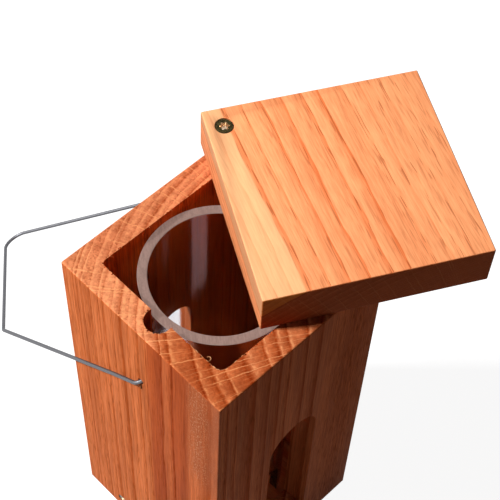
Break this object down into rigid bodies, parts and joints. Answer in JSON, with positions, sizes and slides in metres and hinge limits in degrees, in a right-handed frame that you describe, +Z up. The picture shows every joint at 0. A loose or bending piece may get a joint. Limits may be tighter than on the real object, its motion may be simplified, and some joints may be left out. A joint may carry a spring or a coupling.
{
  "type": "silo bird feeder",
  "caption": "Square hollow oak post bird feeder with a clear seed tube inside, arched feed slots, a lid that swivels on a corner screw and a bent wire hanger.",
  "frame": {"origin": "centre of the post's underside, on the surface that the feeder stands on", "axes": "+Z up; -Y is the front face and +Y the back face, each with a feed slot; the hanger's pivots lie along X and the hanger leans down towards +Y"},
  "size_m": [0.2014, 0.2825, 0.2652],
  "materials": {
    "oak_post": "oiled, fine sawn",
    "oak_lid": "oiled, planed",
    "oak_floor": "oiled, fine sawn",
    "screw_brass": "dull yellow passivated",
    "clear_acrylic": "clear, saw-cut rims",
    "steel_wire": "bright drawn"
  },
  "bodies": {
    "post": {"post_front_half": "oak_post", "post_back_half": "oak_post", "floor_board": "oak_floor", "floor_screws": "screw_brass", "feed_tube": "clear_acrylic", "lid_screw": "screw_brass"},
    "lid": {"lid": "oak_lid"},
    "bail": {"bail": "steel_wire"}
  },
  "joints": [
    {"name": "lid_swivel", "type": "hinge", "parent": "post", "child": "lid", "pos_m": [0.0451, 0.0472, 0.2402], "axis": [0, 0, 1], "range_deg": [-61, 29]},
    {"name": "bail_swing", "type": "hinge", "parent": "post", "child": "bail", "pos_m": [0, 0, 0.194], "axis": [1, 0, 0], "range_deg": [-19, 70]}
  ]
}
